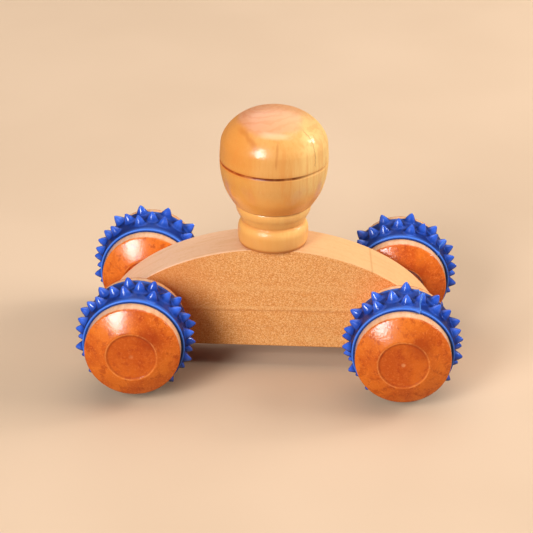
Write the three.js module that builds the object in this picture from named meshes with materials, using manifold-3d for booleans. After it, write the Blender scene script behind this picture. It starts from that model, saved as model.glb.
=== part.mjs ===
// Four-wheel wooden foot massage roller.
// Millimetres, +Z up. The origin is on the floor, straight below the knob.
// +X runs along the board to the right pair of rollers, +Y to the back.
// An arched board carries a turned palm knob on top. A steel rod turns in the
// board at each end, and a wooden roller is fixed on each end of each rod. A
// rubber strip with three rows of conical spikes is wrapped round each roller.

import * as THREE from "three";
import { mergeVertices } from "three/addons/utils/BufferGeometryUtils.js";
import Module from "manifold-3d";

const wasm = await Module();
wasm.setup();

const { degToRad, radToDeg } = THREE.MathUtils;

// ---------------------------------------------------------------- dimensions
const WHEELBASE = 84; // rod to rod, along X
const AXLE_Z = 19; // rod height above the floor
const TRACK = 51; // mid-plane to mid-plane of a pair of rollers, along Y
const CUT_PAST = 5; // how far a cutting shape runs past the face it opens

const BOARD_THICK = 16.6; // along Y
const BOARD_BOTTOM = 7.2; // height of the flat underside
const BOARD_RISE = 35; // underside to the top of the arch
const BOARD_HALF = 55.5; // half the board's length
const BOARD_POWER = 1.93; // 2 would be half an ellipse
const BOARD_EASE = 0.5; // width of the bevel along the edges
const BOARD_STEPS = 44; // facets of the arch

const SEAT_DEPTH = 0.65; // flat cut in the arch for the knob
const SEAT_R = 11.4;
const SEAT_Z = BOARD_BOTTOM + BOARD_RISE - SEAT_DEPTH;
const SEAT_SEGMENTS = 48;

const AXLE_R = 2.5;
const AXLE_LENGTH = 62;
const AXLE_BORE_R = AXLE_R + 0.07; // in the board, running fit
const AXLE_BORE_SEGMENTS = 32;
const HUB_BORE_R = AXLE_R + 0.02; // blind bore in each roller
const HUB_BORE_PAST_END = 0.3;

const WHEEL_R = 15;
const WHEEL_HALF = 14.35; // half the roller's width
const WHEEL_BAND_HALF = 10.7; // half width of its cylindrical part
const DOME_R = WHEEL_R - 0.35; // outer edge of the domed face, past the corner
const DOME_Y = WHEEL_BAND_HALF + 0.37;
const DOME_CROWN = 0.45; // how far the dome bulges past a straight cone
const DOME_STEPS = 3;
const WHEEL_FLAT_R = 7.9; // flat disc at the middle of each face
const WHEEL_SEGMENTS = 36;

const WHEEL_INNER_Y = TRACK / 2 - WHEEL_HALF; // roller's inner face, from the board's middle
const WASHER_GAP = 0.15; // washer to board
const WASHER_THICK = WHEEL_INNER_Y - BOARD_THICK / 2 - WASHER_GAP;
const WASHER_R = 5.5;
const WASHER_BORE_R = AXLE_R + 0.1;
const WASHER_SEGMENTS = 32;

const STRIP_WIDTH = 14;
const STRIP_IN_R = WHEEL_R + 0.08; // keeps the strip's facets clear of the roller
const STRIP_OUT_R = STRIP_IN_R + 0.97;
const STRIP_SLIT = 0.3; // butt joint of the strip
const STRIP_STEPS = 36;

const SPIKES_A_ROW = 12;
const SPIKE_ROOT_R = STRIP_IN_R + 0.35; // root, inside the strip, from the rod's axis
const SPIKE_TIP_R = 19; // tip, from the rod's axis
const SPIKE_POINT = 0.2; // height of the blunt point
const SPIKE_BASE = 1.9; // spike's own radius at its root
const SPIKE_END = 0.45; // spike's own radius below the blunt point
const SPIKE_SEGMENTS = 6;

const DOWEL_R = 4;
const DOWEL_LENGTH = 30; // half in the board, half in the knob
const DOWEL_BORE_R = DOWEL_R + 0.03;
const DOWEL_BORE_DEPTH = DOWEL_LENGTH / 2 + 0.4;

const KNOB_SEGMENTS = 36;

// Knob outline: [radius, height above its seat].
const KNOB_PROFILE = [
  [0, 0], [10.5, 0], [10.95, 0.5], [11.2, 2.3], [11.26, 3.6],
  [11.24, 4.8], [11.08, 5.8], [10.7, 6.7], [10.24, 7.35], [9.98, 7.75],
  [10.04, 8.05], [10.32, 8.6], [10.7, 9.3], [11.08, 10.1], [11.6, 11],
  [11.86, 11.8], [11.95, 12.6], [11.7, 13.55], [12.3, 13.85], [13.25, 15],
  [14.4, 16.85], [15.6, 19.35], [16.85, 24.6], [17.12, 27.95], [16.75, 28.3],
  [17.12, 28.65], [17.05, 32.5], [16.3, 36.2], [14.8, 38.6], [12.5, 40.8],
  [9.9, 42.6], [6.3, 44], [0, 44.85],
];

// Angles of an evenly spaced row of spikes.
const evenRow = (first) =>
  Array.from({ length: SPIKES_A_ROW }, (_, i) => first + (i * 360) / SPIKES_A_ROW);

// How each strip sits on its roller. rows: Y of the front, middle and back row
// from the strip's mid-plane. outer and middle: angles, in degrees, of the
// spikes from straight up, positive towards +X; outer serves both the front and
// the back row. joint: angle of the butt joint, close beside a middle-row spike.
const STRIPS = {
  front_left: { rows: [-2.7, 0.5, 3.8], outer: evenRow(20.5), middle: evenRow(5.5), joint: 182.5 },
  back_left: { rows: [-1.95, 1.6, 5.05], outer: evenRow(18.6), middle: evenRow(4.5), joint: 181.5 },
  front_right: {
    rows: [-2.5, 0.9, 4.4],
    outer: [-144.5, -118, -91, -62, -32, 1.5, 35.5, 70, 98.5, 126, 154, 183],
    middle: [-131, -104.5, -77, -46, -14, 20, 52, 84, 112, 140, 168.5, 199],
    joint: 17,
  },
  back_right: { rows: [-2.3, 1.15, 4.8], outer: evenRow(8.8), middle: evenRow(24), joint: 51 },
};

// ----------------------------------------------------------------- materials
const material = (settings) => new THREE.MeshStandardMaterial(settings);

const MATERIALS = {
  board: material({ color: 0xe6a260, roughness: 0.55, metalness: 0 }),
  knob: material({ color: 0xe89a4b, roughness: 0.25, metalness: 0 }),
  wheel: material({ color: 0xd96a1e, roughness: 0.22, metalness: 0 }),
  rubber: material({ color: 0x2450b4, roughness: 0.35, metalness: 0 }),
  steel: material({ color: 0xb8bcc0, roughness: 0.3, metalness: 1 }),
  nylon: material({ color: 0xe9e6dc, roughness: 0.5, metalness: 0 }),
  dowel: material({ color: 0xdcb584, roughness: 0.7, metalness: 0 }),
};

// ------------------------------------------------------------------- helpers
// Turns a closed geometry into a Manifold solid. Points are welded by position
// alone, and the triangles that collapse in the weld are left out.
function toSolid(geometry) {
  geometry.deleteAttribute("normal");
  geometry.deleteAttribute("uv");
  const welded = mergeVertices(geometry, 1e-4);
  const corners = welded.index.array;
  const triangles = [];
  for (let i = 0; i < corners.length; i += 3) {
    const [first, second, third] = corners.slice(i, i + 3);
    if (first !== second && second !== third && third !== first) {
      triangles.push(first, second, third);
    }
  }
  return new wasm.Manifold(
    new wasm.Mesh({
      numProp: 3,
      vertProperties: new Float32Array(welded.attributes.position.array),
      triVerts: new Uint32Array(triangles),
    }),
  );
}

function toGeometry(solid) {
  const { vertProperties, triVerts } = solid.getMesh();
  const geometry = new THREE.BufferGeometry();
  const points = new Float32Array(vertProperties);
  geometry.setAttribute("position", new THREE.BufferAttribute(points, 3));
  geometry.setIndex(new THREE.BufferAttribute(new Uint32Array(triVerts), 1));
  geometry.computeVertexNormals();
  return geometry;
}

function named(name, geometry, mat, position = [0, 0, 0]) {
  const mesh = new THREE.Mesh(geometry, mat);
  mesh.name = name;
  mesh.position.set(...position);
  return mesh;
}

// A cylinder along Y from y0 to y1, with its facets' corners at the radius.
function rodY(radius, y0, y1, segments = 24) {
  const rod = new THREE.CylinderGeometry(radius, radius, y1 - y0, segments, 1);
  return rod.translate(0, (y0 + y1) / 2, 0);
}

// The same along Z, from z0 to z1.
const rodZ = (radius, z0, z1, segments) =>
  rodY(radius, z0, z1, segments).rotateX(Math.PI / 2);

// Turns an outline of [radius, height] about Y.
const turned = (outline, segments) =>
  new THREE.LatheGeometry(outline.map((point) => new THREE.Vector2(...point)), segments);

// Extrudes a closed outline of [x, z] along Y, centred on Y = 0.
function extrudeY(outline, depth, options) {
  const shape = new THREE.Shape(outline.map((point) => new THREE.Vector2(...point)));
  shape.closePath();
  const geometry = new THREE.ExtrudeGeometry(shape, { depth, steps: 1, ...options });
  return geometry.translate(0, 0, -depth / 2).rotateX(Math.PI / 2);
}

// --------------------------------------------------------------------- board
// The outline is drawn inside the finished size by the bevel, which grows it back.
function boardOutline() {
  const halfLength = BOARD_HALF - BOARD_EASE;
  const rise = BOARD_RISE - 2 * BOARD_EASE;
  const outline = [[-halfLength, 0], [halfLength, 0]];
  for (let i = 1; i < BOARD_STEPS; i++) {
    // even steps of a rounded parameter, so the ends get short facets
    const angle = (i / BOARD_STEPS) * Math.PI;
    const cos = Math.cos(angle);
    const sin = Math.sin(angle);
    outline.push([
      halfLength * Math.sign(cos) * Math.pow(Math.abs(cos), 2 / BOARD_POWER),
      rise * Math.pow(sin, 2 / BOARD_POWER),
    ]);
  }
  return outline;
}

function boardGeometry() {
  const blank = extrudeY(boardOutline(), BOARD_THICK - 2 * BOARD_EASE, {
    bevelEnabled: true,
    bevelThickness: BOARD_EASE,
    bevelSize: BOARD_EASE,
    bevelSegments: 1,
  });
  let board = toSolid(blank.translate(0, 0, BOARD_BOTTOM + BOARD_EASE));
  const boreEnd = BOARD_THICK / 2 + CUT_PAST;
  for (const side of [-1, 1]) {
    const bore = rodY(AXLE_BORE_R, -boreEnd, boreEnd, AXLE_BORE_SEGMENTS);
    bore.translate((side * WHEELBASE) / 2, 0, AXLE_Z);
    board = board.subtract(toSolid(bore));
  }
  const seat = rodZ(SEAT_R, SEAT_Z, SEAT_Z + CUT_PAST, SEAT_SEGMENTS);
  const dowelBore = rodZ(DOWEL_BORE_R, SEAT_Z - DOWEL_BORE_DEPTH, SEAT_Z + CUT_PAST);
  return toGeometry(board.subtract(toSolid(seat)).subtract(toSolid(dowelBore)));
}

// ---------------------------------------------------------------------- knob
// Local origin: the middle of its seat.
function knobGeometry() {
  const knob = toSolid(turned(KNOB_PROFILE, KNOB_SEGMENTS).rotateX(Math.PI / 2));
  const dowelBore = rodZ(DOWEL_BORE_R, -CUT_PAST, DOWEL_BORE_DEPTH);
  return toGeometry(knob.subtract(toSolid(dowelBore)));
}

// -------------------------------------------------------------------- roller
// Outline of [radius, y], the same on both sides of the mid-plane.
function wheelOutline() {
  const inward = DOME_R - WHEEL_FLAT_R;
  const outward = WHEEL_HALF - DOME_Y;
  const slant = Math.hypot(inward, outward);
  const half = [[WHEEL_R, WHEEL_BAND_HALF]];
  // domed face from the corner in to the flat disc, bulged square to its slant
  for (let i = 0; i <= DOME_STEPS; i++) {
    const t = i / DOME_STEPS;
    const bulge = 4 * DOME_CROWN * t * (1 - t);
    half.push([
      DOME_R - inward * t + (outward / slant) * bulge,
      DOME_Y + outward * t + (inward / slant) * bulge,
    ]);
  }
  const mirrored = half.map(([radius, y]) => [radius, -y]).reverse();
  return [[0, -WHEEL_HALF], ...mirrored, ...half, [0, WHEEL_HALF]];
}

// side -1: outer face towards -Y, side 1: towards +Y. Local origin: mid-plane.
function wheelGeometry(side) {
  const wheel = toSolid(turned(wheelOutline(), WHEEL_SEGMENTS));
  const open = -side * (WHEEL_HALF + CUT_PAST);
  const blind = side * (AXLE_LENGTH / 2 + HUB_BORE_PAST_END - TRACK / 2);
  const bore = rodY(HUB_BORE_R, Math.min(open, blind), Math.max(open, blind));
  return toGeometry(wheel.subtract(toSolid(bore)));
}

// -------------------------------------------------------------- spiked strip
// A band round Y, open at the joint.
function bandGeometry(joint) {
  const halfSlit = radToDeg(STRIP_SLIT / 2 / STRIP_OUT_R);
  const first = joint + halfSlit;
  const last = joint + 360 - halfSlit;
  const arc = (radius) =>
    Array.from({ length: STRIP_STEPS + 1 }, (_, i) => {
      const angle = degToRad(first + ((last - first) * i) / STRIP_STEPS);
      return [radius * Math.sin(angle), radius * Math.cos(angle)];
    });
  const outline = [...arc(STRIP_OUT_R), ...arc(STRIP_IN_R).reverse()];
  return extrudeY(outline, STRIP_WIDTH, { bevelEnabled: false });
}

function spikeGeometry(angle, y) {
  const outline = [
    [0, SPIKE_ROOT_R],
    [SPIKE_BASE, SPIKE_ROOT_R],
    [SPIKE_END, SPIKE_TIP_R - SPIKE_POINT],
    [0, SPIKE_TIP_R],
  ];
  const spike = turned(outline, SPIKE_SEGMENTS);
  spike.rotateX(Math.PI / 2); // its axis is now +Z
  return spike.rotateY(degToRad(angle)).translate(0, y, 0);
}

function stripGeometry({ rows, outer, middle, joint }) {
  let strip = toSolid(bandGeometry(joint));
  rows.forEach((y, row) => {
    for (const angle of row === 1 ? middle : outer) {
      strip = strip.add(toSolid(spikeGeometry(angle, y)));
    }
  });
  // the joint's cut runs on through the foot of the spike beside it
  const cutIn = STRIP_IN_R - 1;
  const cutOut = SPIKE_TIP_R + 1;
  const cut = new THREE.BoxGeometry(STRIP_SLIT, STRIP_WIDTH + 2 * CUT_PAST, cutOut - cutIn);
  cut.translate(0, 0, (cutIn + cutOut) / 2).rotateY(degToRad(joint));
  return toGeometry(strip.subtract(toSolid(cut)));
}

// -------------------------------------------------------------------- washer
// Between board and roller. Local origin: the middle of the rod.
function washerGeometry(side) {
  const near = WHEEL_INNER_Y - WASHER_THICK;
  const disc = toSolid(rodY(WASHER_R, near, WHEEL_INNER_Y, WASHER_SEGMENTS));
  const bore = toSolid(rodY(WASHER_BORE_R, near - CUT_PAST, WHEEL_INNER_Y + CUT_PAST));
  const washer = toGeometry(disc.subtract(bore));
  return side < 0 ? washer.rotateX(Math.PI) : washer;
}

// ------------------------------------------------------------------ assembly
// One rod with its two rollers, strips and washers.
function axleGroup(place, x) {
  const axle = new THREE.Group();
  axle.position.set(x, 0, AXLE_Z);
  const rod = rodY(AXLE_R, -AXLE_LENGTH / 2, AXLE_LENGTH / 2);
  axle.add(named(`axle_${place}`, rod, MATERIALS.steel));
  for (const [end, side] of [["front", -1], ["back", 1]]) {
    const key = `${end}_${place}`;
    const midPlane = [0, (side * TRACK) / 2, 0];
    axle.add(
      named(`wheel_${key}`, wheelGeometry(side), MATERIALS.wheel, midPlane),
      named(`ring_${key}`, stripGeometry(STRIPS[key]), MATERIALS.rubber, midPlane),
      named(`washer_${key}`, washerGeometry(side), MATERIALS.nylon),
    );
  }
  return axle;
}

const seatCentre = [0, 0, SEAT_Z];
const dowel = rodZ(DOWEL_R, -DOWEL_LENGTH / 2, DOWEL_LENGTH / 2);

const roller = new THREE.Group();
roller.add(
  named("body_block", boardGeometry(), MATERIALS.board),
  named("knob", knobGeometry(), MATERIALS.knob, seatCentre),
  named("knob_dowel", dowel, MATERIALS.dowel, seatCentre),
  axleGroup("left", -WHEELBASE / 2),
  axleGroup("right", WHEELBASE / 2),
);

export default roller;
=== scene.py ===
"""A wooden hand massager: an arched beech board with a palm knob and four wheels in spiked rubber.

The board is long in X and thin in Y, with its axles along Y and the knob on top (+Z). The front
is -Y and left is -X. Shapes are in millimetres; the stage, lights and camera are in metres.
"""
import math

import bmesh
import bpy
import numpy as np
from mathutils import Matrix, Vector


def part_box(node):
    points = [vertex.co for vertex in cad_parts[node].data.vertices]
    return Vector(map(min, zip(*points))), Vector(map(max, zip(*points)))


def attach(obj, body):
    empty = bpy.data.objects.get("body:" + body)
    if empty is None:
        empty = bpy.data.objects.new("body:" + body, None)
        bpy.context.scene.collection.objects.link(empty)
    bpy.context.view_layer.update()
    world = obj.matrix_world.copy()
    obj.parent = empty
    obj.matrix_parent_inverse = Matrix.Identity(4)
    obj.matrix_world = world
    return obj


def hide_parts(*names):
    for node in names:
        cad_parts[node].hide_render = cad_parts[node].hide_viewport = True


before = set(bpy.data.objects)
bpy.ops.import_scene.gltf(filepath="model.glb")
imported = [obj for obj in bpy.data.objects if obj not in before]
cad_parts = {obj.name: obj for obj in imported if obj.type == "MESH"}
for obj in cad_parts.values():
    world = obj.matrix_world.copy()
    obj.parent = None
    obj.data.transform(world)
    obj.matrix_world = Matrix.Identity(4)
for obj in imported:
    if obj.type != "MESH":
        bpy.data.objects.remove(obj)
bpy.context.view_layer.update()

MM = 0.001
scene = bpy.context.scene


# ------------------------------------------------------------------ geometry
def box_mm(node):
    """Lowest and highest corner of a CAD piece."""
    low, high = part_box(node)
    return np.array(low) / MM, np.array(high) / MM


def turned_size(node):
    """Centre, radius and half length of a CAD piece that is turned about Y."""
    low, high = box_mm(node)
    return (low + high) / 2, float(high[0] - low[0]) / 2, float(high[1] - low[1]) / 2


def shade(piece, smooth):
    """Smooth shading, with edges sharper than `smooth` degrees kept crisp."""
    mesh = piece.data
    mesh.polygons.foreach_set("use_smooth", [True] * len(mesh.polygons))
    mesh.set_sharp_from_angle(angle=math.radians(smooth))
    mesh.update()


def new_mesh(name, verts, faces, smooth):
    """An object from millimetre vertices, facing outward."""
    mesh = bpy.data.meshes.new(name)
    points = [tuple(float(c) * MM for c in vert) for vert in verts]
    mesh.from_pydata(points, [], [tuple(int(i) for i in face) for face in faces])
    mesh.validate()
    work = bmesh.new()
    work.from_mesh(mesh)
    bmesh.ops.remove_doubles(work, verts=work.verts, dist=1e-7)
    bmesh.ops.recalc_face_normals(work, faces=work.faces)
    work.to_mesh(mesh)
    work.free()
    piece = bpy.data.objects.new(name, mesh)
    scene.collection.objects.link(piece)
    shade(piece, smooth)
    return piece


def lathe(name, profile, segs, centre, axis, smooth=35.0):
    """A turned solid about axis "y" or "z".

    profile: (radius, height) pairs from axis to axis. One that starts off the axis closes as a ring.
    """
    verts, faces, rings = [], [], []
    for radius, height in profile:
        start = len(verts)
        if radius <= 1e-6:
            verts.append((0.0, 0.0, height))
        else:
            for k in range(segs):
                angle = 2 * math.pi * k / segs
                verts.append((radius * math.cos(angle), radius * math.sin(angle), height))
        rings.append(range(start, len(verts)))
    pairs = list(zip(rings[:-1], rings[1:]))
    if profile[0][0] > 1e-6:
        pairs.append((rings[-1], rings[0]))
    for lower, upper in pairs:
        for k in range(segs):
            k2 = (k + 1) % segs
            if len(lower) == 1:
                faces.append((lower[0], upper[k], upper[k2]))
            elif len(upper) == 1:
                faces.append((lower[k], upper[0], lower[k2]))
            else:
                faces.append((lower[k], upper[k], upper[k2], lower[k2]))
    cx, cy, cz = centre
    if axis == "y":
        verts = [(cx + x, cy + t, cz + y) for x, y, t in verts]
    else:
        verts = [(cx + x, cy + y, cz + t) for x, y, t in verts]
    return new_mesh(name, verts, faces, smooth)


def spline(points, steps):
    """A smooth curve through (radius, height) points, monotone where the points are."""
    points = np.array(points, float)
    station = np.concatenate([[0], np.cumsum(np.hypot(*np.diff(points, axis=0).T))])
    gap = np.diff(station)
    wanted = np.linspace(0, station[-1], steps)
    seg = np.clip(np.searchsorted(station, wanted, side="right") - 1, 0, len(gap) - 1)
    t = (wanted - station[seg]) / gap[seg]
    columns = []
    for value in points.T:
        slope = np.diff(value) / gap
        tangent = np.zeros(len(value))
        for i in range(1, len(value) - 1):
            if slope[i - 1] * slope[i] > 0:
                before = 2 * gap[i] + gap[i - 1]
                after = gap[i] + 2 * gap[i - 1]
                tangent[i] = (before + after) / (before / slope[i - 1] + after / slope[i])
        tangent[0], tangent[-1] = slope[0], slope[-1]
        columns.append(
            value[seg] * (2 * t**3 - 3 * t**2 + 1)
            + gap[seg] * tangent[seg] * (t**3 - 2 * t**2 + t)
            + value[seg + 1] * (3 * t**2 - 2 * t**3)
            + gap[seg] * tangent[seg + 1] * (t**3 - t**2)
        )
    return [(float(radius), float(height)) for radius, height in zip(*columns)]


def bake_modifiers(piece):
    graph = bpy.context.evaluated_depsgraph_get()
    baked = bpy.data.meshes.new_from_object(
        piece.evaluated_get(graph), preserve_all_data_layers=True, depsgraph=graph)
    piece.modifiers.clear()
    old = piece.data
    piece.data = baked
    bpy.data.meshes.remove(old)


def drill(target, name, radius, low, high, segs, centre, axis):
    """Cut a round hole that runs from low to high along the axis."""
    profile = [(0, low), (radius, low), (radius, high), (0, high)]
    cutter = lathe(name, profile, segs, centre, axis)
    mod = target.modifiers.new("cut", "BOOLEAN")
    mod.operation = "DIFFERENCE"
    mod.solver = "EXACT"
    mod.object = cutter
    bake_modifiers(target)
    bpy.data.objects.remove(cutter)


def place(piece, material, group, cad_piece):
    """Give a piece its material and tell the frame what it is."""
    piece.data.materials.append(material)
    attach(piece, group)
    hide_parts(cad_piece)


# -------------------------------------------------------------- shader tools
def srgb(*rgb):
    """Linear RGBA from 0-255 sRGB."""
    linear = []
    for value in rgb:
        value /= 255.0
        linear.append(value / 12.92 if value <= 0.04045 else ((value + 0.055) / 1.055) ** 2.4)
    return (*linear, 1.0)


class Signal:
    """A shader output. Arithmetic on it adds Math nodes."""

    def __init__(self, shader, socket):
        self.shader = shader
        self.socket = socket

    def __add__(self, other):
        return self.shader.maths("ADD", self, other)

    def __radd__(self, other):
        return self.shader.maths("ADD", other, self)

    def __sub__(self, other):
        return self.shader.maths("SUBTRACT", self, other)

    def __mul__(self, other):
        return self.shader.maths("MULTIPLY", self, other)

    def __abs__(self):
        return self.shader.maths("ABSOLUTE", self)

    def ramp(self, over, to=(0.0, 1.0)):
        """Ease between the two `to` values as the signal goes between the two `over` values."""
        shader = self.shader
        node = shader.add("ShaderNodeMapRange", interpolation_type="SMOOTHSTEP", clamp=True)
        names = ("Value", "From Min", "From Max", "To Min", "To Max")
        for name, value in zip(names, (self, *over, *to)):
            shader.put(node.inputs[name], value)
        return Signal(shader, node.outputs["Result"])

    def line(self, over, peak):
        """A band about zero: `peak` within the first distance, gone at the second."""
        return abs(self).ramp(over=over, to=(peak, 0.0))

    def between(self, low, high):
        """Mix two colours by this signal."""
        node = self.shader.add("ShaderNodeMix", data_type="RGBA", blend_type="MIX")
        node.clamp_factor = True
        for i, value in ((0, self), (6, low), (7, high)):
            self.shader.put(node.inputs[i], value)
        return Signal(self.shader, node.outputs[2])

    def tint(self, colour, by):
        return by.between(self, colour)

    def stained(self, *layers):
        """Tint by patterns. Layers: pattern, values it comes in over, strength, sRGB colour."""
        base = self
        for pattern, over, strength, colour in layers:
            base = base.tint(srgb(*colour), by=pattern.ramp(over=over) * strength)
        return base


def length(a, b):
    return a.shader.maths("SQRT", a * a + b * b)


class Shader:
    """A material under construction, in object millimetres about a centre."""

    def __init__(self, name, centre=(0, 0, 0), shift=(0, 0, 0)):
        self.material = bpy.data.materials.new(name)
        self.material.use_nodes = True
        self.tree = self.material.node_tree
        self.tree.nodes.clear()
        self.shift = shift
        position = self.mapping(
            self.output("ShaderNodeTexCoord", "Object"),
            scale=(1000.0, 1000.0, 1000.0), location=tuple(-float(c) for c in centre))
        # two neutral mappings, free for a turn and a stretch
        self.position = self.mapping(self.mapping(position))

    def add(self, kind, **settings):
        node = self.tree.nodes.new(kind)
        for name, value in settings.items():
            setattr(node, name, value)
        return node

    def put(self, socket, value):
        if isinstance(value, Signal):
            self.tree.links.new(value.socket, socket)
        else:
            socket.default_value = value

    def output(self, kind, name):
        return Signal(self, self.add(kind).outputs[name])

    def mapping(self, vector, scale=(1, 1, 1), location=(0, 0, 0)):
        node = self.add("ShaderNodeMapping", vector_type="POINT")
        self.put(node.inputs["Vector"], vector)
        node.inputs["Scale"].default_value = scale
        node.inputs["Location"].default_value = location
        return Signal(self, node.outputs[0])

    def noise(self, scale, detail=3.0, rough=0.5, distort=0.0, shift=None):
        """Noise with `scale` features per millimetre along x, y and z."""
        vector = self.mapping(self.position, scale, shift or self.shift)
        node = self.add("ShaderNodeTexNoise", noise_dimensions="3D")
        inputs = {"Vector": vector, "Scale": 1.0, "Detail": detail, "Roughness": rough,
                  "Distortion": distort}
        for name, value in inputs.items():
            self.put(node.inputs[name], value)
        return Signal(self, node.outputs["Fac"])

    def maths(self, operation, a, b=0.0):
        node = self.add("ShaderNodeMath", operation=operation)
        for socket, value in zip(node.inputs, (a, b, 0.0)):
            self.put(socket, value)
        return Signal(self, node.outputs[0])

    def axes(self, vector=None):
        """The x, y and z of a vector, or of the position."""
        node = self.add("ShaderNodeSeparateXYZ")
        self.put(node.inputs[0], vector or self.position)
        return [Signal(self, socket) for socket in node.outputs]

    def facing(self):
        """0 where the surface faces the eye, 1 where it turns away."""
        node = self.add("ShaderNodeLayerWeight")
        node.inputs["Blend"].default_value = 0.5
        return Signal(self, node.outputs["Facing"])

    def bump(self, height, depth_mm, strength):
        node = self.add("ShaderNodeBump")
        node.inputs["Strength"].default_value = strength
        node.inputs["Distance"].default_value = depth_mm * MM
        self.put(node.inputs["Height"], height)
        return Signal(self, node.outputs[0])

    def finish(self, **inputs):
        """Close with a Principled surface; underscores stand for spaces in the input names."""
        surface = self.add("ShaderNodeBsdfPrincipled")
        for name, value in inputs.items():
            self.put(surface.inputs[name.replace("_", " ")], value)
        out = self.add("ShaderNodeOutputMaterial")
        self.tree.links.new(surface.outputs[0], out.inputs["Surface"])
        return self.material


# --------------------------------------------------------------------- board
low, high = box_mm("body_block")
BOTTOM, HALF_LEN, HALF_THICK = float(low[2]), float(high[0]), float(high[1])
SEAT_Z = float(box_mm("knob")[0][2])
SEAT_DEPTH = 0.65  # the knob's seat is cut this far below the top of the arch
RISE = SEAT_Z + SEAT_DEPTH - BOTTOM
ARCH_POWER = 1.93  # 2 would be a plain half ellipse
ARCH_STEPS = 180
EASE, EASE_ROWS = 0.55, 5  # radius of the eased edges and the loops across each
BORE_RADIUS = 2.6
SEAT_RADIUS = 11.4
DOWEL_HOLE_RADIUS, DOWEL_HOLE_DEPTH = 4.06, 15.4


def growth_lines(base, wood, z):
    """Thin wavering lines along the board."""
    wave = (wood.noise(scale=(0.03, 0.02, 0.01), detail=2) - 0.5) * 3.0
    # height, half widths at full strength and at nothing (mm), strength, sRGB colour
    for height, over, peak, colour in (
        (20.2, (0.1, 0.5), 0.34, (196, 112, 56)),
        (21.3, (0.1, 0.7), 0.26, (255, 206, 140)),
        (14.4, (0.1, 0.6), 0.16, (196, 112, 56)),
        (28.4, (0.3, 1.6), 0.18, (250, 196, 130)),
    ):
        base = base.tint(srgb(*colour), by=(z - (wave + height)).line(over=over, peak=peak))
    return base


def board_material():
    wood = Shader("board_beech_satin")
    x, y, z = wood.axes()
    # tone drift, growth lines along the board, short flecks and fine speckle
    broad = wood.noise(scale=(0.02, 0.06, 0.05), detail=2)
    rings = wood.noise(scale=(0.012, 0.5, 0.42), rough=0.55, distort=0.4)
    fleck = wood.noise(scale=(0.75, 1.6, 1.5), detail=2, rough=0.6)
    speck = wood.noise(scale=(2.3, 2.8, 2.7), detail=2, rough=0.6, shift=(3, 5, 7))
    dots = wood.noise(scale=(2.9, 3.3, 3.2), detail=2, rough=0.7, shift=(13, 2, 9))
    base = broad.ramp(over=(0.35, 0.65)).between(srgb(236, 164, 92), srgb(242, 174, 102))
    base = base.stained(
        (rings, (0.50, 0.62), 0.22, (222, 144, 76)),
        (fleck, (0.50, 0.66), 0.22, (212, 132, 64)),
        (dots, (0.49, 0.60), 0.74, (208, 122, 50)),
        (speck, (0.51, 0.61), 0.72, (255, 206, 142)),
    )
    base = growth_lines(base, wood, z)
    # both ends are a little darker
    base = base.tint(srgb(220, 130, 62), by=x.ramp(over=(-34.0, -8.0), to=(0.50, 0.0)))
    base = base.tint(srgb(224, 126, 52), by=x.ramp(over=(24.0, 44.0), to=(0.0, 0.45)))
    # upward faces are paler: pinker at the left, yellower at the right, with one dark join
    upward = wood.axes(wood.output("ShaderNodeTexCoord", "Normal"))[2]
    top = upward.ramp(over=(0.12, 0.5))
    pale = x.ramp(over=(-45.0, 25.0)).between(srgb(232, 186, 152), srgb(230, 178, 122))
    pale = pale.stained(
        (wood.noise(scale=(0.10, 0.6, 0.10), rough=0.6), (0.46, 0.66), 0.30, (216, 158, 100)),
        (fleck, (0.52, 0.72), 0.18, (206, 144, 90)),
    )
    join = x + y * 0.05 - 31.6
    pale = pale.tint(srgb(190, 130, 70), by=join.line(over=(0.1, 0.45), peak=0.45))
    base = base.tint(pale, by=top)
    # the relief is softer on the upward faces
    relief = (fleck * 0.6 + speck * 0.6) * top.ramp(over=(0.0, 1.0), to=(1.0, 0.35))
    return wood.finish(
        Base_Color=base, Roughness=fleck.ramp(over=(0.3, 0.7), to=(0.52, 0.66)),
        Normal=wood.bump(relief, depth_mm=0.045, strength=0.8),
        Specular_IOR_Level=0.28, Coat_Weight=0.08, Coat_Roughness=0.30)


def board_outline(inset):
    """The arch as (x, z) points, from the right foot over the top to the left."""
    points = []
    for i in range(ARCH_STEPS + 1):
        angle = math.pi * i / ARCH_STEPS
        c, s = math.cos(angle), math.sin(angle)
        x = (HALF_LEN - inset) * math.copysign(abs(c) ** (2 / ARCH_POWER), c)
        z = (RISE - 2 * inset) * max(s, 0.0) ** (2 / ARCH_POWER)
        points.append((x, BOTTOM + inset + z))
    return points


def make_board():
    # loops from the front face, over its eased edge, to the back face
    loops = []
    for face in (-1, 1):
        for k in range(EASE_ROWS)[::-face]:
            angle = (math.pi / 2) * k / (EASE_ROWS - 1)
            inset = EASE * (1 - math.sin(angle))
            y = face * (HALF_THICK - EASE * (1 - math.cos(angle)))
            loops.append([(x, y, z) for x, z in board_outline(inset)])
    size = len(loops[0])
    last = (len(loops) - 1) * size
    faces = [range(size)]
    for start in range(0, last, size):
        for i in range(size):
            i2 = (i + 1) % size
            faces.append((start + i, start + i2, start + size + i2, start + size + i))
    faces.append([last + i for i in range(size - 1, -1, -1)])
    board = new_mesh("board", [point for loop in loops for point in loop], faces, 180.0)
    for side in ("left", "right"):
        x, _, z = turned_size("axle_" + side)[0]
        drill(board, "tmp_bore", BORE_RADIUS, -20, 20, 64, (x, 0, z), "y")
    seat = (0, 0, SEAT_Z)
    drill(board, "tmp_seat", SEAT_RADIUS, 0, 8, 96, seat, "z")
    drill(board, "tmp_hole", DOWEL_HOLE_RADIUS, -DOWEL_HOLE_DEPTH, 9, 48, seat, "z")
    shade(board, 42.0)
    weighted = board.modifiers.new("weighted", "WEIGHTED_NORMAL")
    weighted.keep_sharp = True
    weighted.weight = 90
    bake_modifiers(board)
    # the cuts may leave empty material slots
    board.data.materials.clear()
    return board


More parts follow.
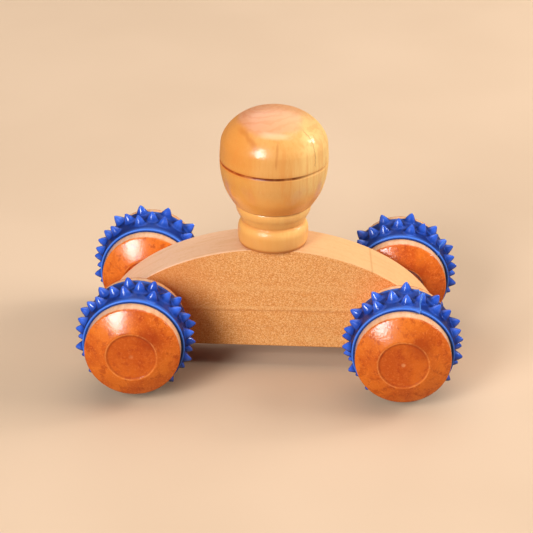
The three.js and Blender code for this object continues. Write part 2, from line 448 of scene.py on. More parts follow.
place(make_board(), board_material(), "body", "body_block")

# ---------------------------------------------------------------------- knob
# tables of (radius, height above the seat)
GROOVE = 28.45  # height of the burnt groove round the head
COLLAR = [
    (10.35, 0.0), (10.72, 0.2), (10.92, 0.65), (11.05, 1.3), (11.2, 2.3), (11.26, 3.6),
    (11.24, 4.8), (11.08, 5.8), (10.7, 6.7), (10.24, 7.35), (9.98, 7.75), (10.04, 8.05),
    (10.32, 8.6), (10.7, 9.3), (11.08, 10.1), (11.6, 11.0), (11.86, 11.8), (11.95, 12.6),
    (11.86, 13.2), (11.7, 13.55),
]
LIP = [(11.72, 13.72), (12.0, 13.76)]
HEAD = [
    (12.3, 13.85), (12.75, 14.25), (13.25, 15.0), (14.37, 16.85), (15.0, 18.0), (15.57, 19.35),
    (16.3, 21.85), (16.9, 24.85), (17.12, 27.2), (17.15, GROOVE - 0.55),
]
GROOVE_CUT = [
    (17.02, GROOVE - 0.36), (16.88, GROOVE - 0.14), (16.86, GROOVE), (16.88, GROOVE + 0.14),
    (17.02, GROOVE + 0.36),
]
CROWN = [
    (17.15, GROOVE + 0.55), (17.14, 30.2), (17.02, 32.0), (16.8, 34.6), (16.35, 36.1),
    (15.6, 37.5), (14.7, 38.8), (13.6, 40.0), (12.5, 41.0), (11.1, 42.0), (9.2, 43.05),
    (7.0, 43.85), (4.6, 44.4), (2.2, 44.72), (0.0, 44.82),
]


def make_knob():
    profile = [(0.0, DOWEL_HOLE_DEPTH), (DOWEL_HOLE_RADIUS, DOWEL_HOLE_DEPTH),
               (DOWEL_HOLE_RADIUS, 0.0)]
    profile += spline(COLLAR, 96) + LIP + spline(HEAD, 60) + GROOVE_CUT + spline(CROWN, 110)
    profile[-1] = (0.0, profile[-1][1])
    # stay just inside the top of the CAD knob
    top = float(box_mm("knob")[1][2]) - SEAT_Z - 0.01
    profile = [(radius, min(height, top)) for radius, height in profile]
    return lathe("palm_knob", profile, 176, (0, 0, SEAT_Z), "z", 38.0)


def head_marks(base, wood, drift, x, y, z):
    """Figure and a painted highlight on the upper head; returns the colour and the mask of the
    crown's end grain.
    """
    # short dark streak on the front
    streak = (x - (1.5 + drift(3.0))).line(over=(0.05, 0.6), peak=0.40)
    front = y.ramp(over=(-12.0, -15.0))
    tall = z.ramp(over=(31.0, 33.5)) * z.ramp(over=(41.0, 38.5))
    base = base.tint(srgb(200, 112, 46), by=streak * front * tall)
    # crown: pink-cream, with rings about a point left of the middle and behind it
    crown = (z + drift(4.0)).ramp(over=(40.6, 42.2))
    ring = length(x + 3.0, (y - 5.0) * 0.8)
    ring = ring + wood.noise(scale=(0.2, 0.2, 0.2), detail=2) * 5.0
    arcs = wood.maths("SINE", ring * 2.6)
    cap = arcs.ramp(over=(-0.2, 1.0), to=(0.0, 0.45)).between(
        srgb(225, 153, 110), srgb(216, 126, 78))
    cap = cap.tint(srgb(236, 176, 110), by=x.ramp(over=(-8.0, 10.0), to=(0.0, 0.5)))
    crown = crown * (x + drift(8.0)).ramp(over=(6.0, 11.0), to=(1.0, 0.35))
    # deeper orange at the upper left
    left = x.ramp(over=(-3.0, -10.0))
    base = base.tint(srgb(228, 138, 56), by=left * z.ramp(over=(28.0, 32.0)) * 0.45)
    base = base.tint(cap, by=crown * 0.85)
    # painted highlight: a pale arc on the front shoulder
    shoulder_highlight = (z - (40.8 + drift(3.0))).line(over=(0.2, 1.0), peak=0.48)
    shoulder_highlight_at = abs(x - 0.5).ramp(over=(6.0, 2.0)) * y.ramp(over=(-4.0, -9.0))
    base = base.tint(srgb(255, 214, 168), by=shoulder_highlight * shoulder_highlight_at)
    # flame line that slopes across the front
    flame = (z + x * 1.15 - (30.4 + drift(12.0))).line(over=(0.2, 1.9), peak=0.40)
    flame_at = z.ramp(over=(34.5, 37.5)) * y.ramp(over=(-5.0, -9.0))
    base = base.tint(srgb(196, 104, 38), by=flame * flame_at)
    # fine wandering check on the right
    wander = wood.noise(scale=(0.1, 0.1, 0.45), detail=2, rough=0.6, shift=(1, 3, 2)) - 0.5
    check = (x * 0.63 + y * 0.78 + wander * 2.4).line(over=(0.06, 0.30), peak=0.48)
    check_tall = z.ramp(over=(30.0, 31.5)) * z.ramp(over=(42.5, 41.0))
    base = base.tint(srgb(160, 96, 48), by=check * (x.ramp(over=(8.0, 10.0)) * check_tall))
    return base, crown


def burnt_groove(base, wood, away, x, y):
    """Dark line and halo at the groove, uneven round the head and nearly gone at the right."""
    line = away.ramp(over=(0.24, 0.56), to=(1.0, 0.0))
    uneven = wood.noise(scale=(0.16, 0.16, 0.01), rough=0.6, shift=(9, 4, 2)).ramp(
        over=(0.34, 0.54), to=(0.62, 1.0))
    fade = (x - y * 0.25).ramp(over=(9.5, 16.0), to=(1.0, 0.22))
    burnt = x.ramp(over=(-14.0, 2.0)).between(srgb(168, 66, 14), srgb(112, 50, 14))
    halo = away.ramp(over=(0.3, 1.5), to=(0.34, 0.0))
    halo_side = x.ramp(over=(-16.0, 4.0), to=(1.0, 0.35))
    base = base.tint(srgb(214, 98, 28), by=halo * halo_side)
    return base.tint(burnt, by=line * uneven * fade)


def painted_lower_light_and_shade(base, x, z):
    """Painted light and shade under the head, painted light on the neck, painted shade in the
    creases and cove and where the collar meets the board; darker near the foot.
    """
    # painted light: paler under the head
    under = z.ramp(over=(13.8, 14.0)) * z.ramp(over=(24.0, 17.0))
    base = base.tint(srgb(253, 176, 84), by=under * 0.75)
    # painted shade: an orange-brown patch low under the head, right of centre
    painted_shade_under_head = z.ramp(over=(19.0, 15.5)) * abs(x - 4.0).ramp(over=(9.0, 3.0))
    base = base.tint(srgb(226, 132, 56), by=painted_shade_under_head * under * 0.40)
    # painted shade: a dark line in the crease below the head's edge
    lip = (z - 13.75).line(over=(0.1, 0.4), peak=0.65)
    base = base.tint(srgb(140, 66, 20), by=lip)
    # painted light: the neck is paler
    neck = z.ramp(over=(13.8, 13.4))
    base = base.tint(srgb(252, 194, 112), by=neck * 0.45)
    # painted shade in the hollow of the cove
    cove = (z - 7.8).line(over=(0.15, 1.0), peak=0.40)
    base = base.tint(srgb(210, 122, 52), by=cove)
    # darker towards the foot of the collar
    base = base.tint(srgb(218, 138, 66), by=z.ramp(over=(6.5, 4.0), to=(0.0, 0.34)))
    # painted shadow where the collar meets the board
    return base.tint(srgb(170, 78, 26), by=z.ramp(over=(0.65, 1.5), to=(0.6, 0.0)))


def knob_material():
    wood = Shader("knob_beech_varnish", centre=(0, 0, SEAT_Z))
    x, y, z = wood.axes()
    warp = wood.noise(scale=(0.10, 0.10, 0.05), detail=2, shift=(2, 7, 1))
    rings = wood.noise(scale=(0.45, 0.32, 0.022), rough=0.55, distort=0.6, shift=(3, 1, 0))
    fine = wood.noise(scale=(1.6, 1.6, 0.09), rough=0.6)
    fleck = wood.noise(scale=(2.4, 2.4, 0.6), rough=0.65)

    def drift(reach):
        """A slow wander that spans `reach` millimetres."""
        return (warp - 0.5) * reach

    # deeper orange at the left, honey in the middle, paler yellow at the right
    across = x + drift(16.0)
    base = across.ramp(over=(-11.0, -1.0)).between(srgb(230, 160, 74), srgb(232, 170, 94))
    base = base.tint(srgb(246, 204, 128), by=across.ramp(over=(2.0, 12.0)))
    base = base.stained(
        (rings, (0.48, 0.60), 0.34, (230, 148, 68)),
        (fine, (0.50, 0.68), 0.22, (226, 144, 68)),
        (fleck, (0.56, 0.72), 0.16, (250, 204, 136)),
    )
    base, crown = head_marks(base, wood, drift, x, y, z)
    away = abs(z - GROOVE)
    base = burnt_groove(base, wood, away, x, y)
    base = painted_lower_light_and_shade(base, x, z)
    # varnish: grain breaks up the highlights, duller on the neck, in the groove and edge on
    grain = wood.noise(scale=(1.1, 1.1, 1.0), detail=2, rough=0.7, shift=(4, 8, 1))
    neck = z.ramp(over=(16.0, 11.0))
    glaze = grain * neck.ramp(over=(0.0, 1.0), to=(0.8, 1.5))
    grit = wood.noise(scale=(1.9, 1.9, 1.6), detail=2, rough=0.6, shift=(6, 2, 7))
    gloss = away.ramp(over=(0.5, 1.0), to=(0.15, 1.0))
    gloss = gloss * neck.ramp(over=(0.0, 1.0), to=(1.0, 0.5))
    gloss = gloss * grit.ramp(over=(0.36, 0.56), to=(0.72, 1.0))
    gloss = gloss * wood.facing().ramp(over=(0.60, 0.90), to=(1.0, 0.10))
    coat_rough = neck.ramp(over=(0.0, 1.0), to=(0.09, 0.17)) + crown * 0.12
    # relief: flecks, turning marks and a slow unevenness
    turned = wood.noise(scale=(0.05, 0.05, 2.4), detail=2)
    uneven = wood.noise(scale=(0.22, 0.22, 0.22), detail=2, shift=(5, 5, 5))
    relief = fleck * 0.22 + turned * 0.4 + uneven * 1.6
    return wood.finish(
        Base_Color=base, Roughness=fleck.ramp(over=(0.3, 0.7), to=(0.34, 0.44)),
        Normal=wood.bump(relief, depth_mm=0.05, strength=0.6), Specular_IOR_Level=0.2,
        Coat_Weight=gloss, Coat_Roughness=coat_rough, Coat_IOR=1.5,
        Coat_Normal=wood.bump(glaze, depth_mm=0.09, strength=1.0))


place(make_knob(), knob_material(), "body", "knob")

# --------------------------------------------------------------------- dowel
DOWEL_SEGS = 72
DOWEL_CHAMFER = 0.9
FLUTE_DEPTH = 0.22


def make_dowel():
    """A fluted pin with chamfered ends; two of every four segments are sunk."""
    low, high = box_mm("knob_dowel")
    radius = float(high[0])
    half = float(high[2] - low[2]) / 2
    middle = float(high[2] + low[2]) / 2
    small, inner = radius - DOWEL_CHAMFER, half - DOWEL_CHAMFER
    verts, faces = [], []
    # ring radius, height from the middle, flute depth
    for ring_radius, height, flute in (
        (small, -half, 0.0), (radius, -inner, FLUTE_DEPTH),
        (radius, inner, FLUTE_DEPTH), (small, half, 0.0),
    ):
        for k in range(DOWEL_SEGS):
            angle = 2 * math.pi * k / DOWEL_SEGS
            r = ring_radius - (flute if k % 4 in (1, 2) else 0.0)
            verts.append((r * math.cos(angle), r * math.sin(angle), middle + height))
    rings = [range(start, start + DOWEL_SEGS) for start in range(0, len(verts), DOWEL_SEGS)]
    faces.append(rings[0][::-1])
    faces.append(rings[-1])
    for lower, upper in zip(rings[:-1], rings[1:]):
        for k in range(DOWEL_SEGS):
            k2 = (k + 1) % DOWEL_SEGS
            faces.append((lower[k], lower[k2], upper[k2], upper[k]))
    return new_mesh("fluted_dowel", verts, faces, 30.0)


def dowel_material():
    wood = Shader("bare_beech_dowel")
    grain = wood.noise(scale=(1.6, 1.6, 0.12), detail=4, rough=0.6)
    base = grain.ramp(over=(0.4, 0.65)).between(srgb(222, 188, 140), srgb(196, 152, 102))
    return wood.finish(
        Base_Color=base, Roughness=grain.ramp(over=(0.3, 0.7), to=(0.6, 0.75)),
        Normal=wood.bump(grain, depth_mm=0.03, strength=0.6))


place(make_dowel(), dowel_material(), "body", "knob_dowel")

# -------------------------------------------------------------------- wheels
# end, side, and which way along Y the outer face points
SETS = [("front", "left", -1), ("back", "left", 1), ("front", "right", -1), ("back", "right", 1)]
WHEEL_RADIUS, WHEEL_HALF = 15.0, 14.35
BAND_HALF = 10.95  # half width of the cylindrical band
# (radius, depth below the end of the wheel)
CENTRE_MARK = [(0.0, 0.52), (0.22, 0.47), (0.5, 0.36), (0.8, 0.33)]
DISC_STEP = [(7.15, 0.26), (7.35, 0.22), (7.6, 0.12), (7.8, 0.04), (7.95, 0.01), (8.15, 0.015)]
DISC_START, DISC_EDGE = 1.3, 6.9
DISC_DEPTH, DISC_RISE = 0.33, 0.05  # depth at the middle and how much shallower at the edge
DOME_START, DOME_END, DOME_STEPS = 8.4, 14.72, 34
DOME_SLOPE, DOME_SLOPE_GAIN = 22.5, 8.5  # degrees, before scaling to the dome's drop
HUB_RADIUS = 2.53
HUB_END = 5.8  # the bore comes from the inner face and ends this far past the middle
HUB_MOUTH = 2.9
INNER_FROM = 3.2  # beyond this radius the inner face matches the outer


def wheel_profile(side):
    """(radius, height along Y) from the outer face to the bore."""
    face = [(r, WHEEL_HALF - depth) for r, depth in CENTRE_MARK]
    face += [(r, WHEEL_HALF - DISC_DEPTH + DISC_RISE * (r / DISC_EDGE) ** 2)
             for r in np.linspace(DISC_START, DISC_EDGE, 12)]
    face += [(r, WHEEL_HALF - depth) for r, depth in DISC_STEP]
    # the dome: a shallow cone that steepens outwards
    slope = [math.tan(math.radians(DOME_SLOPE + DOME_SLOPE_GAIN * (i / DOME_STEPS)))
             for i in range(DOME_STEPS + 1)]
    width = DOME_END - DOME_START
    fall = [0.0]
    for i in range(DOME_STEPS):
        fall.append(fall[-1] + (slope[i] + slope[i + 1]) / 2 * width / DOME_STEPS)
    dome_top = WHEEL_HALF - 0.05
    scale = (dome_top - (BAND_HALF + 0.24)) / fall[-1]
    face += [(DOME_START + width * i / DOME_STEPS, dome_top - fall[i] * scale)
             for i in range(DOME_STEPS + 1)]
    # rolled corner
    face += [(14.86, BAND_HALF + 0.08), (14.95, BAND_HALF - 0.10), (14.99, BAND_HALF - 0.32),
             (WHEEL_RADIUS, BAND_HALF - 0.6)]
    inner = [(0.0, -HUB_END), (HUB_RADIUS, -HUB_END), (HUB_RADIUS, WHEEL_HALF - 0.78),
             (HUB_MOUTH, WHEEL_HALF - DISC_DEPTH)]
    inner += [(r, height) for r, height in face if r > INNER_FROM]
    profile = face + [(r, -height) for r, height in reversed(inner)]
    return [(r, side * height) for r, height in profile]


def wheel_material(key, centre, seed):
    wood = Shader("wheel_wood_" + key, centre, tuple(seed * step for step in (7.3, 3.1, 5.7)))
    x, y, z = wood.axes()
    radius = length(x, z)
    # stained end grain on the domed ends
    broad = wood.noise(scale=(0.085, 0.03, 0.085), rough=0.55, distort=0.6)
    mottle = wood.noise(scale=(0.42, 0.1, 0.42), detail=4, rough=0.62, distort=0.3)
    pore = wood.noise(scale=(1.7, 0.4, 1.7), rough=0.7)
    end = broad.ramp(over=(0.36, 0.62)).between(srgb(228, 117, 30), srgb(204, 90, 20))
    end = end.stained(
        (mottle, (0.50, 0.66), 0.56, (168, 50, 6)),
        (pore, (0.50, 0.66), 0.50, (238, 136, 58)),
    )
    # dark knotty patch at the upper right
    patch = length(x - 5.5, z - 6.0) + (mottle - 0.5) * 9.0
    end = end.tint(srgb(152, 40, 2), by=patch.ramp(over=(1.0, 5.6), to=(0.62, 0.0)))
    # the band is paler side grain, the stain creeping in from the corner
    side = wood.noise(scale=(0.7, 0.14, 0.7), rough=0.55)
    band = side.ramp(over=(0.40, 0.66)).between(srgb(240, 186, 138), srgb(232, 170, 116))
    reach = abs(y) + (side - 0.5) * 0.9
    base = reach.ramp(over=(10.1, 10.95)).between(band, end)
    base = base.tint(srgb(190, 70, 14), by=radius.ramp(over=(7.8, 7.2), to=(0.0, 0.34)))
    # painted shade: a dark line in the step of the recessed disc, darkest on the back right wheel
    # where the step lies in shadow
    strength, colour = 0.34, srgb(150, 46, 8)
    if key == "back_right":
        strength, colour = 0.90, srgb(74, 22, 6)
    base = base.tint(colour, by=(radius - 7.45).line(over=(0.1, 0.45), peak=strength))
    # lathe centre mark, then a painted highlight round the edge of the recess, broken up by the
    # mottle
    mark = 0.5 if key == "front_right" else 0.2
    base = base.tint(srgb(250, 172, 110), by=radius.ramp(over=(0.2, 1.0), to=(mark, 0.0)))
    rim_highlight = (radius - 7.98).line(over=(0.06, 0.32), peak=0.42)
    rim_highlight_breakup = mottle.ramp(over=(0.38, 0.56), to=(0.25, 1.0))
    base = base.tint(srgb(248, 164, 92), by=rim_highlight * rim_highlight_breakup)
    # brushed varnish: fine grain that breaks up the highlight
    grain = wood.noise(scale=(1.5, 1.5, 1.5), detail=2, rough=0.7)
    grit = wood.noise(scale=(2.4, 1.2, 2.4), detail=2, rough=0.6)
    return wood.finish(
        Base_Color=base, Roughness=mottle.ramp(over=(0.3, 0.7), to=(0.36, 0.46)),
        Normal=wood.bump(mottle * 0.9 + pore * 0.55, depth_mm=0.06, strength=0.7),
        Specular_IOR_Level=0.12, Coat_Weight=grit.ramp(over=(0.40, 0.56), to=(0.62, 1.0)),
        Coat_Roughness=0.06, Coat_IOR=1.60,
        Coat_Normal=wood.bump(grain + mottle * 0.4, depth_mm=0.065, strength=1.0))


wheel_at = {}
for i, (end, side, outward) in enumerate(SETS):
    key = f"{end}_{side}"
    centre = wheel_at[key] = turned_size("wheel_" + key)[0]
    wheel = lathe("wooden_wheel_" + key, wheel_profile(outward), 160, centre, "y", 32.0)
    place(wheel, wheel_material(key, centre, i + 1), side + "_axle_set", "wheel_" + key)


# ------------------------------------------------------------- spiked strips
def evenly(first):
    """Twelve angles round the wheel."""
    return [first + 30.0 * k for k in range(12)]


# rows: y of the three rows of spikes. outer, middle: spike angles in degrees from +Z towards +X.
# joint: angle where the ends meet. proud, poke: how far one end stands out and pokes forward.
STRIPS = {
    "front_left": dict(rows=(-2.7, 0.5, 3.8), outer=evenly(20.5), middle=evenly(5.5),
                       joint=182.5, proud=0.12, poke=0.0),
    "back_left": dict(rows=(-1.95, 1.6, 5.05), outer=evenly(18.6), middle=evenly(4.5),
                      joint=181.5, proud=0.12, poke=0.0),
    "front_right": dict(
        rows=(-2.5, 0.9, 4.4),
        outer=[-144.5, -118, -91, -62, -32, 1.5, 35.5, 70, 98.5, 126, 154, 183],
        middle=[-131, -104.5, -77, -46, -14, 20, 52, 84, 112, 140, 168.5, 199],
        joint=17.0, proud=0.34, poke=0.55),
    "back_right": dict(rows=(-2.3, 1.15, 4.8), outer=evenly(8.8), middle=evenly(24.0),
                       joint=51.0, proud=0.3, poke=0.3),
}
# single spikes a little off their place: row, number in the row, degrees, mm along Y
NUDGES = {
    "front_left": [
        (0, 10, 0.4, -0.09), (0, 11, 0.3, 0.15), (0, 0, 0.1, -0.72), (1, 10, 2.2, -0.9),
        (1, 11, 2.2, -0.9), (2, 10, 2.2, -0.9), (2, 11, 1.9, -0.62), (2, 0, -1.1, -0.9),
        (2, 1, -1.2, -0.9),
    ],
    "back_left": [
        (0, 11, 0.3, -0.04), (0, 10, -1.5, 0.84), (0, 0, -1.6, 0.42), (1, 10, 0.2, -0.2),
        (1, 11, -0.3, 0.9), (1, 0, -1.3, -0.83), (2, 10, 1.4, 0.9), (2, 11, 0.3, 0.9),
        (2, 0, -0.4, 0.78), (2, 1, 0.0, 0.49),
    ],
    "front_right": [
        (0, 4, 1.8, -0.76), (0, 5, 0.5, -0.71), (1, 3, 2.2, -0.9), (1, 4, 0.7, -0.9),
        (1, 5, -2.1, -0.9), (1, 6, -2.2, -0.9), (2, 4, 0.3, -0.78), (2, 5, 0.0, 0.9),
        (2, 6, -1.2, -0.9), (2, 3, 0.8, 0.05),
    ],
    "back_right": [
        (0, 11, 0.1, 0.23), (0, 0, 0.8, -0.9), (0, 1, -0.4, 0.16), (1, 10, 1.1, -0.9),
        (1, 11, 1.2, -0.01), (1, 0, -0.2, -0.75), (1, 1, -2.2, -0.9), (2, 10, -0.4, 0.07),
        (2, 11, 0.5, 0.82), (2, 0, 0.9, 0.77), (2, 1, -0.9, -0.75),
    ],
}
STRIP_IN, STRIP_OUT, SPIKE_TIP = 15.06, 16.05, 19.04  # radii
STRIP_HALF = 7.0
SLIT = 0.14  # gap between the cut ends
AROUND, ACROSS = 620, 88  # grid of the outer surface
EDGE_ROUND, END_ROUND = 0.28, 0.12
SPIKE_FOOT, TIP_ROUND = 2.1, 0.44
SKIRT_HEIGHT, SKIRT_RADIUS = 0.62, 2.95
SKIRT_BLEND = 0.14  # softness of the join between spike and skirt
SPIKE_REACH = 3.2  # a spike is left out beyond this distance
LEAN, TALL = 0.05, 0.012  # spread of the spikes' lean and height


def spike_height(away):
    """Height at a distance from the spike's axis: rounded tip, steep flank, flared skirt."""
    top = SPIKE_TIP - STRIP_OUT - 0.04
    run = np.sqrt(away * away + TIP_ROUND * TIP_ROUND) - TIP_ROUND
    cone = top - top / (SPIKE_FOOT - TIP_ROUND) * run
    skirt = SKIRT_HEIGHT * (1.0 - np.clip(away / SKIRT_RADIUS, 0.0, 1.0) ** 2) ** 2
    return SKIRT_BLEND * np.log(np.exp(cone / SKIRT_BLEND) + np.exp(skirt / SKIRT_BLEND))


def rounding(distance, radius):
    """How far a rounded edge falls at a distance in from it."""
    side = np.clip(distance / radius, 0, 1)
    return radius * (1 - np.sqrt(np.clip(1 - (1 - side) ** 2, 0, 1)))


def raise_spikes(key, angle, y, seed):
    """Height and lean (round the wheel, along Y) of the spikes over the grid."""
    rng = np.random.default_rng(seed)
    strip = STRIPS[key]
    nudges = {(row, k): (degrees, dy) for row, k, degrees, dy in NUDGES[key]}
    height, lean_round, lean_y = (np.zeros_like(angle) for _ in range(3))
    for row, row_y in enumerate(strip["rows"]):
        for k, degrees in enumerate(strip["middle"] if row == 1 else strip["outer"]):
            nudge, nudge_y = nudges.get((row, k), (0.0, 0.0))
            turn = (angle - math.radians(degrees + nudge) + math.pi) % (2 * math.pi) - math.pi
            away = np.hypot(turn * STRIP_OUT, y - (row_y + nudge_y))
            tip_round, tip_y = rng.normal(0, LEAN, 2)
            tall = 1.0 + rng.normal(0, TALL)
            near = away < SPIKE_REACH
            spike = np.zeros_like(away)
            spike[near] = spike_height(away[near]) * min(tall, 1.0)
            higher = spike > height
            lean_round = np.where(higher, tip_round * spike, lean_round)
            lean_y = np.where(higher, tip_y * spike, lean_y)
            height = np.maximum(height, spike)
    return height, lean_round, lean_y


def make_strip(key, seed):
    strip, centre = STRIPS[key], wheel_at[key]
    joint = math.radians(strip["joint"])
    half_slit = SLIT / 2 / STRIP_OUT
    angles = np.linspace(joint + half_slit, joint + 2 * math.pi - half_slit, AROUND)
    angle, y = np.meshgrid(angles, np.linspace(-STRIP_HALF, STRIP_HALF, ACROSS), indexing="ij")
    height, lean_round, lean_y = raise_spikes(key, angle, y, seed)
    edge_fall = rounding(STRIP_HALF - np.abs(y), EDGE_ROUND)
    from_end = np.minimum(angles - angles[0], angles[-1] - angles) * STRIP_OUT
    end_fall = rounding(from_end, END_ROUND)
    # the last end stands proud of the first and pokes forward
    from_last = (angles[-1] - angles) * STRIP_OUT
    proud = np.exp(-((from_last / 0.9) ** 2)) * strip["proud"]
    poke = np.exp(-((from_last / 1.1) ** 2)) * strip["poke"]
    radius = STRIP_OUT + height - edge_fall * 0.9 - end_fall[:, None] + proud[:, None]
    leaned = angle + lean_round / STRIP_OUT
    poked = y + lean_y - poke[:, None] * np.clip(-y / STRIP_HALF, 0, 1) ** 2
    verts = np.stack([centre[0] + radius * np.sin(leaned), centre[1] + poked,
                      centre[2] + radius * np.cos(leaned)], -1).reshape(-1, 3).tolist()
    outer = np.arange(AROUND * ACROSS).reshape(AROUND, ACROSS)
    faces = []
    for a, b in zip(outer[:-1], outer[1:]):
        faces += [(a[j], b[j], b[j + 1], a[j + 1]) for j in range(ACROSS - 1)]
    # plain inner face, one quad across, then the two sides and the two ends
    inner = np.zeros((AROUND, 2), int)
    for i, turn in enumerate(angles):
        r = STRIP_IN + 0.7 * proud[i]
        for k, side_y in enumerate((-STRIP_HALF - poke[i], STRIP_HALF)):
            inner[i, k] = len(verts)
            verts.append((centre[0] + r * math.sin(turn), centre[1] + side_y,
                          centre[2] + r * math.cos(turn)))
    for i in range(AROUND - 1):
        faces.append((inner[i, 0], inner[i, 1], inner[i + 1, 1], inner[i + 1, 0]))
        faces.append((outer[i, 0], inner[i, 0], inner[i + 1, 0], outer[i + 1, 0]))
        faces.append((outer[i, -1], outer[i + 1, -1], inner[i + 1, 1], inner[i, 1]))
    first, last = ([*outer[i], inner[i, 1], inner[i, 0]] for i in (0, -1))
    faces += [first, last[::-1]]
    return new_mesh("spiked_strip_" + key, verts, faces, 50.0)


def rubber_material(key, seed):
    shift = tuple(seed * step for step in (4.1, 2.3, 6.1))
    rubber = Shader("blue_rubber_" + key, wheel_at[key], shift)
    x, y, z = rubber.axes()
    radius = length(x, z)
    cloud = rubber.noise(scale=(0.22, 0.22, 0.22))
    fine = rubber.noise(scale=(2.2, 2.2, 2.2), rough=0.6)
    base = cloud.ramp(over=(0.35, 0.65)).between(srgb(36, 84, 198), srgb(56, 108, 228))
    # painted shade: the hollows between the spikes are deeper; the tips are a little worn
    base = base.tint(srgb(14, 34, 106), by=radius.ramp(over=(17.9, 16.3), to=(0.0, 0.62)))
    base = base.tint(srgb(66, 104, 214), by=radius.ramp(over=(18.2, 19.1), to=(0.0, 0.25)))
    # painted light: the smooth margin is brighter; painted shade: the side of the strip is dark
    # where it meets the wood
    reach = abs(y)
    base = base.tint(srgb(78, 134, 246), by=reach.ramp(over=(5.0, 6.4), to=(0.0, 0.80)))
    side_shade = radius.ramp(over=(15.80, 15.45)) * reach.ramp(over=(6.5, 6.9))
    base = base.tint(srgb(16, 34, 92), by=side_shade * 0.85)
    # painted shade: deeper where the surface turns away from the eye
    base = base.tint(srgb(8, 20, 74), by=rubber.facing().ramp(over=(0.36, 0.78), to=(0.0, 0.90)))
    # painted highlight along the cut ends where they meet
    joint = math.radians(STRIPS[key]["joint"])
    from_cut = x * math.cos(joint) + z * -math.sin(joint)
    same_side = (x * math.sin(joint) + z * math.cos(joint)).ramp(over=(0.0, 4.0))
    base = base.tint(srgb(104, 158, 240),
                     by=from_cut.line(over=(0.10, 0.38), peak=0.80) * same_side)
    return rubber.finish(
        Base_Color=base, Roughness=fine.ramp(over=(0.3, 0.7), to=(0.34, 0.44)),
        Normal=rubber.bump(fine * 0.3 + cloud * 1.0, depth_mm=0.05, strength=0.5),
        Specular_IOR_Level=0.08, Coat_Weight=radius.ramp(over=(16.6, 17.6), to=(0.12, 1.0)),
        Coat_Roughness=0.10, Coat_IOR=1.58)


for i, (end, side, _) in enumerate(SETS):
    key = f"{end}_{side}"
    place(make_strip(key, 40 + i), rubber_material(key, i + 1), side + "_axle_set",
          "ring_" + key)


# --------------------------------------------------------- axles and washers
WASHER_BORE, WASHER_CHAMFER = 2.62, 0.22


def steel_material():
    steel = Shader("drawn_steel")
    draw = steel.noise(scale=(3.0, 0.08, 3.0), rough=0.6)
    spot = steel.noise(scale=(0.3, 0.3, 0.3))
    base = draw.ramp(over=(0.35, 0.65)).between(srgb(168, 170, 174), srgb(200, 202, 205))
    base = base.stained((spot, (0.55, 0.7), 0.3, (140, 138, 136)))
    return steel.finish(
        Base_Color=base, Metallic=1.0, Roughness=draw.ramp(over=(0.3, 0.7), to=(0.24, 0.40)),
        Normal=steel.bump(draw, depth_mm=0.01, strength=0.6))


def nylon_material():
    nylon = Shader("natural_nylon")
    cloud = nylon.noise(scale=(0.5, 0.5, 0.5))
    fine = nylon.noise(scale=(4.0, 4.0, 4.0), detail=2, rough=0.6)
    base = cloud.ramp(over=(0.35, 0.65)).between(srgb(226, 222, 208), srgb(238, 235, 226))
    return nylon.finish(
        Base_Color=base, Roughness=fine.ramp(over=(0.3, 0.7), to=(0.42, 0.55)),
        Normal=nylon.bump(fine, depth_mm=0.01, strength=0.5),
        Subsurface_Weight=0.1, Subsurface_Scale=0.001)


def make_axle(side):
    """A rod with rounded ends."""
    centre, radius, half = turned_size("axle_" + side)
    end = [(0, -half), (radius - 0.6, -half), (radius - 0.12, -half + 0.35),
           (radius, -half + 0.8)]
    profile = end + [(radius, t) for t in np.linspace(-half + 2, half - 2, 9)]
    profile += [(r, -t) for r, t in reversed(end)]
    return lathe("axle_rod_" + side, profile, 64, centre, "y", 30.0)


def make_washer(key):
    """A ring with eased corners."""
    centre, radius, half = turned_size("washer_" + key)
    bore, ease = WASHER_BORE, WASHER_CHAMFER
    lower = [(bore, -half + ease), (bore + ease, -half), (radius - ease, -half),
             (radius - 0.06, -half + 0.08), (radius, -half + ease)]
    profile = lower + [(r, -t) for r, t in reversed(lower)]
    return lathe("spacer_washer_" + key, profile, 96, centre, "y", 30.0)


steel = steel_material()
nylon = nylon_material()
for side in ("left", "right"):
    place(make_axle(side), steel, side + "_axle_set", "axle_" + side)
for end, side, _ in SETS:
    key = f"{end}_{side}"
    place(make_washer(key), nylon, side + "_axle_set", "washer_" + key)


# --------------------------------------------------------------------- stage
FLOOR_BOUNCE = (0.30, 0.155, 0.07, 1.0)  # linear colours
FLOOR_MIRRORED = (0.34, 0.23, 0.13, 1.0)


def floor_material():
    """Pale to the camera; what it throws on to the object is kept low and warm."""
    floor = Shader("pale_floor")
    soft = floor.noise(scale=(0.01, 0.01, 0.01), detail=2)
    base = soft.ramp(over=(0.35, 0.65)).between(srgb(211, 184, 156), srgb(215, 188, 160))
    rays = floor.add("ShaderNodeLightPath").outputs
    thrown = Signal(floor, rays["Is Glossy Ray"]).between(FLOOR_BOUNCE, FLOOR_MIRRORED)
    base = Signal(floor, rays["Is Camera Ray"]).between(thrown, base)
    return floor.finish(Base_Color=base, Roughness=0.6, Specular_IOR_Level=0.0)


def make_floor():
    mesh = bpy.data.meshes.new("floor")
    work = bmesh.new()
    bmesh.ops.create_grid(work, x_segments=2, y_segments=2, size=6.0)
    work.to_mesh(mesh)
    work.free()
    floor = bpy.data.objects.new("floor", mesh)
    scene.collection.objects.link(floor)
    mesh.materials.append(floor_material())


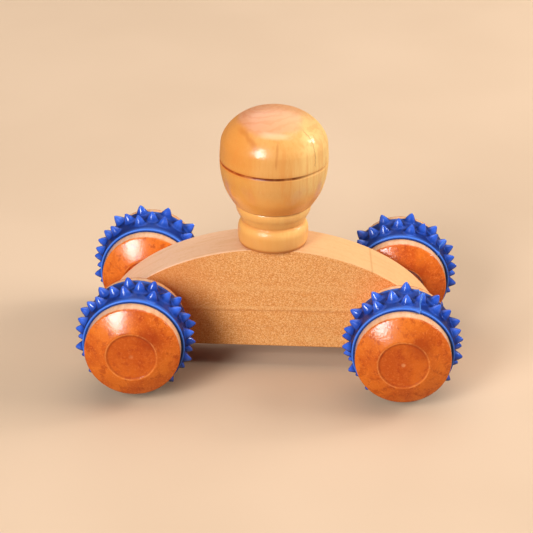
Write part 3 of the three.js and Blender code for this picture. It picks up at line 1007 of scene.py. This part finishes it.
def make_world():
    """A dim warm room that shows more strongly in reflections."""
    world = bpy.data.worlds.new("studio")
    scene.world = world
    world.use_nodes = True
    tree = world.node_tree
    background = tree.nodes["Background"]
    background.inputs[0].default_value = (1.0, 0.955, 0.91, 1.0)
    rays = tree.nodes.new("ShaderNodeLightPath")
    strength = tree.nodes.new("ShaderNodeMapRange")
    tree.links.new(rays.outputs["Is Glossy Ray"], strength.inputs["Value"])
    strength.inputs["To Min"].default_value = 0.08
    strength.inputs["To Max"].default_value = 0.16
    tree.links.new(strength.outputs[0], background.inputs[1])


make_floor()
make_world()

# -------------------------------------------------------------------- lights
COOL, NEUTRAL = (1.0, 0.985, 0.985), (1.0, 0.985, 0.965)


def area(name, at, aim, shape, size, size_y, power, colour, glossy=True):
    """An area light; glossy says whether it shows in reflections."""
    light = bpy.data.lights.new(name, "AREA")
    light.energy, light.color = power, colour
    light.shape = shape
    light.size, light.size_y = size, size_y
    lamp = bpy.data.objects.new(name, light)
    scene.collection.objects.link(lamp)
    lamp.location = at
    lamp.rotation_euler = (Vector(aim) - Vector(at)).to_track_quat("-Z", "Y").to_euler()
    lamp.visible_glossy = glossy


def round_area(name, azimuth, elevation, distance, size, size_y=None, **settings):
    """An elliptical light aimed at the object; azimuth in degrees from the front to the right."""
    turn, tilt = math.radians(azimuth), math.radians(elevation)
    at = (distance * math.cos(tilt) * math.sin(turn),
          -distance * math.cos(tilt) * math.cos(turn),
          distance * math.sin(tilt) + 0.04)
    area(name, at, (0, 0, 0.03), "ELLIPSE", size, size_y or size, **settings)


round_area("key", azimuth=-30.5, elevation=25.8, distance=1.40, size=0.50, size_y=0.70,
           power=15.2, colour=COOL)
round_area("key_soft", azimuth=-30.5, elevation=27.0, distance=1.41, size=0.78,
           power=0.8, colour=NEUTRAL, glossy=False)
round_area("key_halo", azimuth=-30.5, elevation=25.8, distance=1.42, size=1.08,
           power=4.6, colour=NEUTRAL)
round_area("side", azimuth=107, elevation=28, distance=0.90, size=0.13,
           power=1.1, colour=(1.0, 0.97, 0.93))
round_area("fill", azimuth=100, elevation=24, distance=1.05, size=0.9,
           power=11.0, colour=(1.0, 0.965, 0.93), glossy=False)
area("ceiling", at=(0.0, 0.85, 1.0), aim=(0.0, 0.85, 0.0), shape="RECTANGLE",
     size=1.3, size_y=2.1, power=11.0, colour=(1.0, 0.965, 0.935))

# -------------------------------------------------------------------- camera
AZIMUTH, ELEVATION, ROLL = 0.035826, 0.464118, 0.012884  # radians
CAMERA_DISTANCE = 0.669993
CAMERA_TARGET = Vector((-0.001944, 0.0, 0.03184))


def make_camera():
    back = Vector((math.sin(AZIMUTH) * math.cos(ELEVATION),
                   -math.cos(AZIMUTH) * math.cos(ELEVATION), math.sin(ELEVATION)))
    level = (-back).cross(Vector((0, 0, 1))).normalized()
    upright = level.cross(-back)
    right = math.cos(ROLL) * level + math.sin(ROLL) * upright
    up = -math.sin(ROLL) * level + math.cos(ROLL) * upright
    lens = bpy.data.cameras.new("camera")
    lens.sensor_width = 36.0
    lens.lens = 140.359475
    lens.clip_start, lens.clip_end = 0.05, 20.0
    camera = bpy.data.objects.new("camera", lens)
    scene.collection.objects.link(camera)
    rows = [(right[i], up[i], back[i], CAMERA_TARGET[i] + back[i] * CAMERA_DISTANCE)
            for i in range(3)]
    camera.matrix_world = Matrix((*rows, (0, 0, 0, 1)))
    scene.camera = camera


make_camera()
scene.view_settings.view_transform = "Standard"
scene.view_settings.look = "None"
